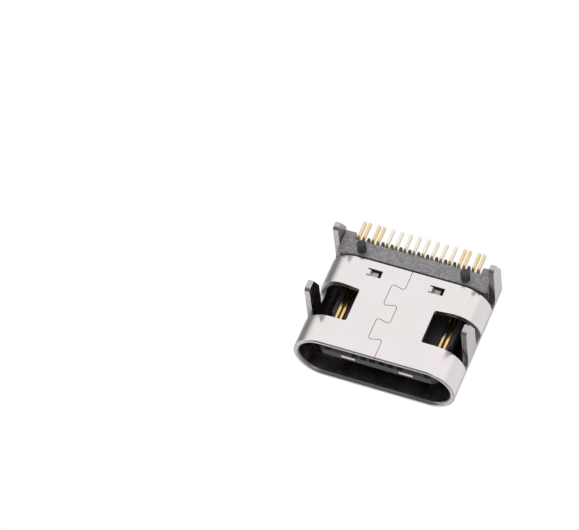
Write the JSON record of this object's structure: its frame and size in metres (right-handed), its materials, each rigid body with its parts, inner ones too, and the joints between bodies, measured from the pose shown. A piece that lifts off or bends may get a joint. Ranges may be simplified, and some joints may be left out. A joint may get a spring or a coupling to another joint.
{
  "type": "usb-c socket",
  "caption": "Board-mount receptacle with a rolled metal shell, a tongue with contacts on both faces, through-board shell legs and surface-mount solder tails.",
  "frame": {"origin": "on the circuit board's surface, where the shell's flat underside sits, on the socket's centre line across the mouth", "axes": "+Z away from the board, -Y out of the mouth, towards the plug, +Y towards the solder tails, X across the mouth"},
  "size_m": [0.009, 0.0079, 0.0044],
  "materials": {
    "shell_metal": "bright nickel-plated stainless steel, smooth",
    "insulator_plastic": "black liquid-crystal polymer, matte moulded",
    "carrier_plastic": "black liquid-crystal polymer, matte moulded",
    "plate_metal": "plain stainless steel",
    "contact_gold": "gold-plated copper alloy, polished"
  },
  "bodies": {
    "root": {"shell": "shell_metal", "housing": "insulator_plastic", "lower_carrier": "carrier_plastic", "upper_carrier": "carrier_plastic", "ground_plate": "plate_metal", "contact_a1": "contact_gold", "contact_a4": "contact_gold", "contact_a5": "contact_gold", "contact_a6": "contact_gold", "contact_a7": "contact_gold", "contact_a8": "contact_gold", "contact_a9": "contact_gold", "contact_a12": "contact_gold", "contact_b1": "contact_gold", "contact_b4": "contact_gold", "contact_b5": "contact_gold", "contact_b6": "contact_gold", "contact_b7": "contact_gold", "contact_b8": "contact_gold", "contact_b9": "contact_gold", "contact_b12": "contact_gold"}
  },
  "joints": []
}
